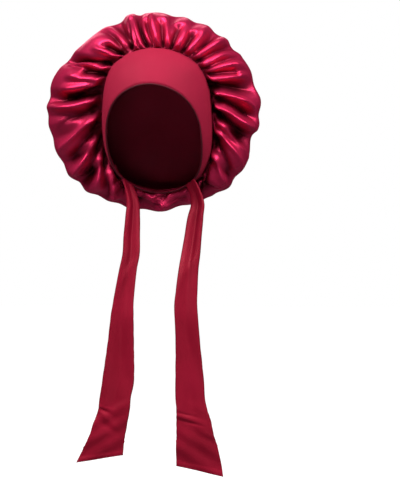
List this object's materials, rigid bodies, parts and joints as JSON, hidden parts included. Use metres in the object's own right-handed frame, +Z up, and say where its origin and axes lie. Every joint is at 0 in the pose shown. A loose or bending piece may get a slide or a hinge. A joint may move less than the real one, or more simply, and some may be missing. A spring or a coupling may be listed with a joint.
{
  "type": "sleep bonnet",
  "caption": "Sleep bonnet worn on the head: gathered satin crown behind a wide face band, open at the face and neck, with two long hanging ties.",
  "frame": {"origin": "middle of the head that the bonnet fits, inside the band at eye level", "axes": "-Y is the way the face looks, +X is on the right when the bonnet is seen from the front, +Z is up along the standing head"},
  "size_m": [0.3308, 0.2274, 0.6946],
  "materials": {
    "crown_satin": "glossy satin",
    "band_knit": "matte fine knit",
    "tie_cloth": "soft low-sheen satin"
  },
  "bodies": {
    "root": {"crown": "crown_satin", "band": "band_knit", "tie_left": "tie_cloth", "tie_right": "tie_cloth"}
  },
  "joints": []
}
